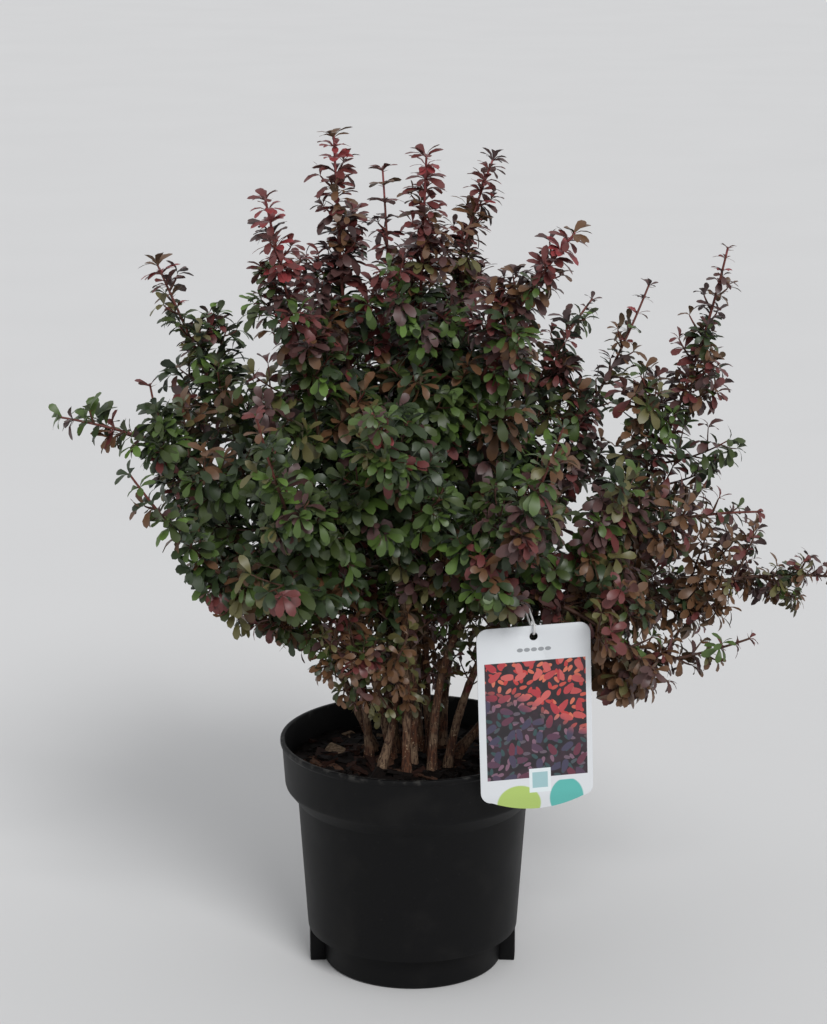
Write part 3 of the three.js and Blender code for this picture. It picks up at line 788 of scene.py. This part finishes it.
# Wood is younger high up and near its tip, and young wood is red, then pink.
YOUNG_HEIGHT = 560
TIP_YOUTH = 0.4
RED_FROM = 0.85
PINK_FROM = 1.22
WOOD_TINTS = {
    "old twig bark": srgb(74, 48, 36),
    "red twig bark": srgb(100, 52, 44),
    "pink growing tip": srgb(140, 74, 74),
}
twigs = Heap()
for wood in woods:
    parts = np.linspace(wood.start, 1, WOOD_STEPS[wood.rank])
    root, tip = WOOD_RADII[wood.rank]
    radii = root + (tip - root) * (parts - wood.start) / (1 - wood.start)
    sides = WOOD_SIDES[wood.rank]
    centres = wood.curve.at(parts)
    points, faces = tube(centres, wood.curve.way(parts), radii, sides)
    height = centres[:-1, 2].repeat(sides)
    youth = height / YOUNG_HEIGHT + TIP_YOUTH * parts[:-1].repeat(sides) ** 3
    tints = np.where(youth > PINK_FROM, 2, np.where(youth > RED_FROM, 1, 0)).tolist()
    twigs.add(points, faces, [tints[0], *tints, tints[-1]])
twig_finishes = [plain_finish(name, colour, 0.6) for name, colour in WOOD_TINTS.items()]
leafy_twigs = twigs.piece("leafy_twigs", twig_finishes, 60)
foliage_nodes = [f"foliage_{shoot.name}" for shoot in shoots]
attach(leafy_twigs, "root")
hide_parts(*foliage_nodes)

# Leaves: small spoon-shaped leaves in a tuft at every node of the wood, level and arched high up
# and hanging low down. The leaves of a twig share a tint: wine and plum high up and at the edge,
# greens inside, and bronze low down. The darkest green is dealt mostly inside the crown, partly as
# the inner leaves' own colour and partly as painted shade. Their undersides are paler.
LEAF_LENGTH = 16
HIGH_LEAF_LENGTH = 14.5
WEAK_LOSS = 0.15
LOW_LOSS = 0.4
LEFT_GAIN = 0.3
RIGHT_LOSS = 0.28
TWIG_END_LOSS = 0.2
SHOOT_END_LOSS = 0.35
LEADER_FLOOR = 440
LEADER_SIDE = 150
LEADER_GAIN = 1.12
# Where on the shrub or along the wood each starts and is full.
SMALLER_HIGH = (380, 470)
LEVEL_HIGH = (300, 440)
ARCHED_HIGH = (380, 480)
LOW_DOWN = (225, 300)
NEAR_AXIS = (70, 130)
LEFT_SIDE = (150, 210)
RIGHT_SIDE = (110, 230)
WOOD_END = (0.8, 1)
LEAF_ROWS = ((0.15, 0.045), (0.46, 0.15), (0.76, 0.235), (0.93, 0.165))
LEAF_THICKNESS = 0.016
NODE_SPACING = (8, 10, 9, 8)
TUFT = (5, 4, 4, 4)
LEADER_TUFT = 3
LOW_TUFT_LOSS = 2
FAN_STEP = 62
END_FAN_STEP = 80
FAN_STRAY = 40
LEAN = 0.3
END_LEAN = 0.8
LEAF_OVERLAP = 18
LEAF_TINTS = {
    "red": (srgb(134, 56, 58), srgb(142, 92, 88), "leaf_purple"),
    "wine": (srgb(98, 50, 48), srgb(118, 84, 80), "leaf_purple"),
    "plum": (srgb(78, 54, 52), srgb(104, 88, 88), "leaf_purple"),
    "deep_green": (srgb(47, 60, 36), srgb(80, 90, 78), "leaf_green"),
    "dark_green": (srgb(58, 70, 34), srgb(88, 96, 76), "leaf_green"),
    "green": (srgb(70, 90, 41), srgb(98, 108, 82), "leaf_green"),
    "bright_green": (srgb(88, 114, 50), srgb(116, 128, 94), "leaf_green"),
    "bronze": (srgb(96, 68, 46), srgb(104, 86, 68), "leaf_olive"),
    "olive": (srgb(94, 90, 55), srgb(110, 106, 82), "leaf_olive"),
}


def leaf_shape(arch, droop, fold):
    """A leaf of length 1 along X that faces +Z: closed, with its upper faces before its lower."""
    points = [(0, 0, 0)]
    for along, half in LEAF_ROWS:
        rise = 4 * arch * along * (1 - along) - droop * along**2
        lift = fold * half / 0.2
        points += [
            (along, half, rise + lift),
            (along, 0, rise + LEAF_THICKNESS / 2),
            (along, -half, rise + lift),
            (along, 0, rise - LEAF_THICKNESS / 2),
        ]
    points.append((1, 0, -droop))
    tip = len(points) - 1
    upper = [(0, 2, 1), (0, 3, 2)]
    lower = [(0, 1, 4), (0, 4, 3)]
    for row in range(len(LEAF_ROWS) - 1):
        left, top, right, under = (1 + 4 * row + n for n in range(4))
        upper += [(top, top + 4, left + 4, left), (right, right + 4, top + 4, top)]
        lower += [(under, left, left + 4, under + 4), (under, under + 4, right + 4, right)]
    left, top, right, under = (tip - 4 + n for n in range(4))
    upper += [(top, tip, left), (right, tip, top)]
    lower += [(under, left, tip), (under, tip, right)]
    return np.array(points), upper + lower, [0] * len(upper) + [1] * len(lower)


def spray_tint(middle, luck, tip):
    """The tint of a spray by where it is on the shrub and how near a tip, dealt out by luck."""
    high = ramp(middle[2], 390, 490)
    low = 1 - ramp(middle[2], 225, 315)
    edge = ramp(math.hypot(middle[0], middle[1]), 140, 230)
    right, left = ramp(middle[0], 20, 150), ramp(-middle[0], 40, 160)
    inside = (1 - high) * (1 - 0.9 * low) * (1 - 0.5 * edge) * (1 - 0.6 * right)
    return dealt({
        "red": 0.14 * ramp(middle[2], 470, 530) + 0.5 * tip * high,
        "wine": 0.04 + 0.08 * low + 0.45 * high + 0.16 * right + 0.1 * edge + 0.3 * tip,
        "plum": 0.12 + 0.3 * high + 0.16 * edge + 0.24 * right,
        # Painted shade in part: the darkest green is dealt most inside the crown, partly the inner
        # leaves' own colour and partly standing in for the shade there.
        "deep_green": 0.05 * (1 - high) + 0.36 * inside,
        "dark_green": 0.06 * (1 - high) + 0.24 * inside,
        "green": 0.03 * (1 - high) + 0.28 * inside + 0.16 * left * (1 - high) * (1 - low),
        "bright_green": (0.08 + 0.1 * left) * inside * (1 - low),
        "bronze": 0.07 + 0.5 * low + 0.24 * edge + 0.22 * right + 0.1 * high,
        "olive": (0.04 + 0.3 * low * (1 - right) + 0.18 * edge) * (1 - high),
    }, luck)


def low_in_middle(root):
    """1 low down near the crown's axis, and 0 higher up or farther out."""
    return (1 - ramp(root[2], *LOW_DOWN)) * (1 - ramp(math.hypot(root[0], root[1]), *NEAR_AXIS))


def leaf_length(root, part, strength, is_shoot, is_leader):
    """A tuft's leaf length: more on the left and on the leaders, and less high up, low in the
    middle, on the right and towards the end of the wood."""
    length = LEAF_LENGTH + (HIGH_LEAF_LENGTH - LEAF_LENGTH) * ramp(root[2], *SMALLER_HIGH)
    length *= 1 - WEAK_LOSS * (1 - strength)
    length *= 1 + LEFT_GAIN * ramp(-root[0], *LEFT_SIDE) - RIGHT_LOSS * ramp(root[0], *RIGHT_SIDE)
    length *= 1 - LOW_LOSS * low_in_middle(root)
    length *= LEADER_GAIN if is_leader else 1
    end_loss = SHOOT_END_LOSS if is_shoot and not is_leader else TWIG_END_LOSS
    return length * (1 - end_loss * ramp(part, *WOOD_END))


LEAF_SHAPES = [
    leaf_shape(0.08, 0.08, 0.03),
    leaf_shape(0.12, 0.3, 0.05),
    leaf_shape(0.1, 0.5, 0.02),
]
leaf_heaps = {name: Heap() for name in LEAF_TINTS}
leaf_nodes = {name: set() for name in LEAF_TINTS}
thorn_places = []
for wood in woods:
    run = wood.curve.length * (1 - wood.leafy)
    tufts = max(1, round(run / NODE_SPACING[wood.rank]))
    roots, alongs, faces_of, sizes, tints = [], [], [], [], []
    spray = spray_tint(wood.curve.at(0.7), jitter(wood.seed * 1.3 + 0.5), 0)
    for n in range(tufts + 1):
        part = wood.leafy + (1 - wood.leafy) * n / tufts
        root, way = wood.curve.at(min(part, 0.995)), wood.curve.way(part)
        turn = math.radians(n * GOLDEN_TURN) + 6.28 * jitter(wood.seed + 0.37)
        ending = n == tufts
        bud = sideways(way, turn)
        beside = np.cross(way, bud)
        strength = vigour(shoots[wood.number], part) if wood.rank == 0 else wood.vigour
        thorn_places.append((root, unit(bud + way * 0.2), wood.rank, strength))
        leader = wood.rank == 0 and root[2] > LEADER_FLOOR and root[0] < LEADER_SIDE
        length = leaf_length(root, part, strength, wood.rank == 0, leader)
        if wood.rank == 0:
            spray = spray_tint(root, jitter(wood.seed * 1.3 + n), ramp(part, 0.75, 0.95))
        high = ramp(root[2], *LEVEL_HIGH)
        tuft = TUFT[wood.rank] + (LEADER_TUFT if leader else 0)
        tuft -= round(LOW_TUFT_LOSS * low_in_middle(root) * jitter(wood.seed * 2.1 + n))
        for leaf in range(tuft):
            luck = [jitter(wood.seed * 3.3 + n * 11.7 + leaf * 1.9 + a * 0.71) for a in range(7)]
            fan = (leaf - (tuft - 1) / 2) * (END_FAN_STEP if ending else FAN_STEP)
            fan = math.radians(fan + FAN_STRAY * (luck[0] - 0.5))
            lean = (END_LEAN if ending else LEAN) + 0.5 * luck[1]
            hang = (1 - high) * (0.1 + 0.6 * luck[2])
            roots.append(root)
            alongs.append(bud * math.cos(fan) + beside * math.sin(fan) + way * lean - UP * hang)
            outward = np.array([root[0], root[1], 0]) / 150
            stray = np.array(luck[3:6]) - 0.5
            faces_of.append(outward * (0.8 - 0.6 * high) + UP + stray * (1.4 - 0.6 * high))
            sizes.append(length * (0.72 + 0.4 * luck[6]))
            tints.append(spray)
    roots, alongs, faces_of = np.array(roots), unit(np.array(alongs)), np.array(faces_of)
    sizes = np.array(sizes)[:, None]
    tips, middles = roots + alongs * sizes, roots + alongs * sizes * 0.6
    if wood.rank == 3:
        kept = clear_of_rest(tips, 0, SPUR_FLOOR)
    else:
        kept = in_own_space(wood.number, tips, 0, LEAF_OVERLAP)
        kept &= clear_of_rest(middles, 0, TWIG_FLOOR)
    across = unit(np.cross(faces_of, alongs))
    normals = np.cross(alongs, across)
    for n in np.flatnonzero(kept):
        bent = jitter(wood.seed + n * 5.3) ** (1 - 0.6 * ramp(roots[n][2], *ARCHED_HIGH))
        shape, faces, slots = LEAF_SHAPES[int(3 * bent)]
        axes = np.array([alongs[n], across[n], normals[n]])
        leaf_heaps[tints[n]].add(roots[n] + shape * sizes[n] @ axes, faces, slots)
        leaf_nodes[tints[n]].add(foliage_nodes[wood.number])
for name, (upper, under, slot) in LEAF_TINTS.items():
    upper_finish = plain_finish(f"{name} leaf", upper, 0.42)
    under_finish = plain_finish(f"{name} leaf underside", under, 0.6)
    leaves = leaf_heaps[name].piece(f"leaves_{name}", [upper_finish, under_finish], 40)
    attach(leaves, "root")
    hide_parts(*sorted(leaf_nodes[name]))

# Thorns: the thin straight spines at the nodes of the shoots and twigs, one beside each tuft.
# They are stiff needles of brown wood that grow out of the bark.
THORN_LENGTH = 8
THORN_RADIUS = 0.35
THORN_CORNERS = np.array([(0, 1, 0), (0, -0.5, 0.87), (0, -0.5, -0.87)]) * THORN_RADIUS
needles = Heap()
for root, way, rank, strength in thorn_places:
    if rank > 1:
        continue
    across = unit(np.cross(way, UP + 0.01))
    axes = np.array([way, across, np.cross(way, across)])
    tip = np.array([[THORN_LENGTH * (0.5 + 0.5 * strength), 0, 0]])
    points = root + np.concatenate([THORN_CORNERS, tip]) @ axes
    needles.add(points, [(0, 1, 2), (0, 3, 1), (1, 3, 2), (2, 3, 0)], [0] * 4)
thorns = needles.piece("thorns", [mottled_finish("brown thorn", srgb(96, 62, 46), 0.6)], 30)
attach(thorns, "root")

# Label card: a stiff printed plastic card with rounded corners and a shallow curved foot. Its
# picture panel, the two coloured fields and the small square are printed on the front only.
CARD_THICKNESS = 0.8
CARD_CORNER = 7
CARD_BELLY = 6
CARD_EDGE_ROUNDING = 0.12
CARD_HOLE_RADIUS = 2.7
CARD_MIDDLE = CARD_HOLE_DROP - CARD_HEIGHT / 2
bpy.ops.object.select_all(action="DESELECT")
bpy.ops.mesh.primitive_plane_add(
    size=1, rotation=(math.pi / 2, 0, 0), location=(0, 0, CARD_MIDDLE * MM)
)
bpy.context.active_object.scale = (CARD_WIDTH * MM, CARD_HEIGHT * MM, 1)
card = settled("label_card_printed")
bpy.ops.object.mode_set(mode="EDIT")
bpy.ops.mesh.select_all(action="SELECT")
bpy.ops.mesh.bevel(affect="VERTICES", offset=CARD_CORNER * MM, segments=6)
bpy.ops.object.mode_set(mode="OBJECT")
foot = (CARD_HOLE_DROP - CARD_HEIGHT) * MM
for edge in card.data.edges:
    edge.select = all(card.data.vertices[v].co.z < foot + 0.01 * MM for v in edge.vertices)
for face in card.data.polygons:
    face.select = False
bpy.ops.object.mode_set(mode="EDIT")
bpy.ops.mesh.select_mode(type="EDGE")
bpy.ops.mesh.subdivide(number_cuts=15)
bpy.ops.object.mode_set(mode="OBJECT")
for vertex in card.data.vertices:
    if vertex.co.z < foot + 0.01 * MM:
        across = vertex.co.x / MM / (CARD_WIDTH / 2 - CARD_CORNER)
        vertex.co.z -= CARD_BELLY * MM * (1 - across**2)
worked(card, "SOLIDIFY", thickness=CARD_THICKNESS * MM, offset=0)
bpy.ops.mesh.primitive_cylinder_add(
    vertices=32, radius=CARD_HOLE_RADIUS * MM, depth=4 * MM, rotation=(math.pi / 2, 0, 0)
)
joined_or_cut(card, settled("punch"), "DIFFERENCE")
worked(
    card, "BEVEL", width=CARD_EDGE_ROUNDING * MM, segments=2, limit_method="ANGLE",
    angle_limit=math.radians(60),
)
smoothed(card, 40)
print_map = card.data.uv_layers.new(name="print")
for loop in card.data.loops:
    corner = card.data.vertices[loop.vertex_index].co / MM
    print_map.data[loop.index].uv = (corner.x, corner.z)

card_finish, shader, place = new_finish("printed card", 0.32, 0.4)
place = place.node("UVMap", {"uv_map": "print"}, {})
x = place.node("SeparateXYZ", {}, {0: place}, "X")
z = place.node("SeparateXYZ", {}, {0: place}, "Y")


def inside(wire, low, high, soft=0.15):
    """1 where the wire lies from low to high, with a soft edge, and 0 outside."""
    return wire.between(low - soft, low + soft) * wire.between(high + soft, high - soft)


def field(left, right, low, high):
    """1 inside a rectangle on the card, in millimetres from its hole, and 0 outside."""
    return inside(x, left, right) * inside(z, low, high)


def oval(middle_x, middle_z, narrow, flat):
    """How far a point lies from a middle, in squares weighted across and along the card."""
    across, along = x - middle_x, z - middle_z
    return across * across * narrow + along * along * flat


def printed_leaves(scale, shift):
    """A scatter of small leaf motifs: the mask, and a number for each leaf."""
    moved = place.node("Mapping", {}, {"Vector": place, "Location": (shift, shift, 0)})
    centre = moved.node(
        "TexVoronoi", {"voronoi_dimensions": "2D"},
        {"Vector": moved, "Scale": scale, "Randomness": 0.75}, "Position",
    )
    luck = centre.node("TexWhiteNoise", {"noise_dimensions": "2D"}, {"Vector": centre}, "Value")
    offset = moved.node("VectorMath", {"operation": "SUBTRACT"}, {0: moved, 1: centre})
    turned_by = offset.node(
        "VectorRotate", {"rotation_type": "Z_AXIS"}, {"Vector": offset, "Angle": luck * 6.28}
    )
    along = turned_by.node("SeparateXYZ", {}, {0: turned_by}, "X") * scale
    beside = turned_by.node("SeparateXYZ", {}, {0: turned_by}, "Y") * scale
    round_tip = (along * along) * 4.2 + (beside * beside) * (18 - along * 16)
    return round_tip.between(1, 0.8), luck


ground = place.noise(0.09, 2).between(0.4, 0.6).blend(srgb(42, 38, 42), srgb(58, 44, 52))
big, big_luck = printed_leaves(0.105, 3)
small, small_luck = printed_leaves(0.19, 41)
fall = (z + x * 0.5 + place.noise(0.05, 2) * 26).between(-46, -26)
cool = small_luck.between(0.3, 0.7).blend(srgb(56, 78, 80), srgb(122, 92, 108))
warm = small_luck.between(0.3, 0.7).blend(srgb(182, 64, 62), srgb(206, 112, 88))
cool_big = big_luck.between(0.2, 0.8).blend(srgb(104, 52, 66), srgb(70, 66, 86))
warm_big = big_luck.between(0.2, 0.8).blend(srgb(170, 58, 66), srgb(196, 96, 92))
picture = small.blend(ground, fall.blend(cool, warm))
picture = big.blend(picture, fall.blend(cool_big, warm_big))
paper = srgb(214, 217, 220)
printed = field(-32, 33, -94, -16).blend(paper, picture)
below = inside(z, -130, -97)
green_field = oval(-12, -111, 0.012, 0.016).between(2.6, 2.2) * below
blue_field = oval(19, -109, 0.02, 0.014).between(2.6, 2.2) * below
printed = green_field.blend(printed, srgb(172, 196, 108))
printed = blue_field.blend(printed, srgb(92, 178, 170))
printed = field(-5, 9, -104, -88).blend(printed, srgb(220, 228, 230))
printed = field(-3, 7, -101, -90.5).blend(printed, srgb(156, 190, 194))
for middle_x in (-9, -4.5, 0, 4.5, 9):
    mark = oval(middle_x, -8.5, 0.22, 0.5).between(1, 0.7) * 0.7
    printed = mark.blend(printed, srgb(96, 100, 104))
printed.into(shader, "Base Color")
card_back, shader, place = new_finish("plain card", 0.35, 0.4)
place.noise(40, 2).blend(srgb(208, 211, 214), srgb(216, 218, 220)).into(shader, "Base Color")
card.data.materials.append(card_back)
card.data.materials.append(card_finish)
for face in card.data.polygons:
    face.material_index = 1 if face.normal.y < -0.9 else 0
card.data.transform(Matrix.Scale(MM, 4) @ CARD_PLACE @ Matrix.Scale(1 / MM, 4))
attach(card, "root")
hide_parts("label_card")

# Label tie: a thin plastic loop through the card's hole and round the stem behind it, moulded
# as one ring and pulled long by the card's weight.
TIE_WIRE_RADIUS = 0.7
TIE_LOOP_RADIUS = 4
bearer = mains["label_side"]
tie_part = tie_parts[tie_step]
tie_slant = bearer.curve.way(tie_part) @ into_card[0, :3]
tie_stem_radius = (stem_radius(bearer, tie_part) + TIE_WIRE_RADIUS / 2) / tie_slant
hook = np.array([0, 0, CARD_HOLE_RADIUS - GAP - TIE_WIRE_RADIUS + TIE_LOOP_RADIUS])
pull = np.array([0, tie_node[1], tie_node[2]]) - hook
stretch = np.linalg.norm(pull) + tie_stem_radius + GAP + TIE_WIRE_RADIUS - TIE_LOOP_RADIUS
bpy.ops.object.select_all(action="DESELECT")
bpy.ops.mesh.primitive_torus_add(
    major_radius=TIE_LOOP_RADIUS * MM, minor_radius=TIE_WIRE_RADIUS * MM,
    major_segments=48, minor_segments=12,
)
tie = settled("label_tie_loop")
for vertex in tie.data.vertices:
    if vertex.co.y > 0:
        vertex.co.y += stretch * MM
pull = Vector(pull).normalized()
across = Vector((1, 0, 0))
basis = Matrix((pull.cross(across), pull, across)).transposed().to_4x4()
tie.data.transform(
    Matrix.Scale(MM, 4) @ CARD_PLACE @ Matrix.Translation(hook) @ basis @ Matrix.Scale(1 / MM, 4)
)
smoothed(tie, 60)
tie_finish, shader, place = new_finish("pale plastic tie", 0.35)
place.noise(300, 2).blend(srgb(196, 196, 196), srgb(208, 208, 206)).into(shader, "Base Color")
tie.data.materials.append(tie_finish)
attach(tie, "root")
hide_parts("label_tie")

# Floor, light and camera: a wide pale floor under soft studio light, seen from a little above
# the shrub, as with a short telephoto lens.
FLOOR_WIDTH = 50
WORLD_COLOUR = (0.97, 0.98, 1, 1)
WORLD_STRENGTH = 0.66
KEY_PLACE = (0.8, -2.2, 2.4)
KEY_TARGET = (0, 0, 0.25)
KEY_STRENGTH = 1.7
KEY_SPREAD = 22
CAMERA_BACK = 1.683
CAMERA_HEIGHT = 0.745
CAMERA_TILT = 14.5
CAMERA_LENS = 93.8
floor_finish, shader, place = new_finish("pale floor", 0.85, 0.1)
speckle = place.noise(3, 3)
speckle.blend(srgb(208, 208, 208), srgb(213, 213, 213)).into(shader, "Base Color")
bpy.ops.object.select_all(action="DESELECT")
bpy.ops.mesh.primitive_plane_add(size=FLOOR_WIDTH)
floor = settled("floor")
floor.data.materials.append(floor_finish)

bpy.context.scene.view_settings.view_transform = "Standard"
world = bpy.data.worlds.new("studio")
bpy.context.scene.world = world
world.use_nodes = True
background = world.node_tree.nodes["Background"]
background.inputs["Color"].default_value = WORLD_COLOUR
background.inputs["Strength"].default_value = WORLD_STRENGTH
bpy.ops.object.light_add(type="SUN", location=KEY_PLACE)
key = bpy.context.active_object
key.name = "key"
key.data.energy = KEY_STRENGTH
key.data.angle = math.radians(KEY_SPREAD)
key_way = Vector(KEY_TARGET) - Vector(KEY_PLACE)
key.rotation_euler = key_way.to_track_quat("-Z", "Y").to_euler()
bpy.ops.object.camera_add(
    location=(0, -CAMERA_BACK, CAMERA_HEIGHT), rotation=(math.radians(90 - CAMERA_TILT), 0, 0)
)
camera = bpy.context.active_object
camera.data.lens = CAMERA_LENS
camera.data.sensor_width = 36
camera.data.shift_x = 0.001
bpy.context.scene.camera = camera
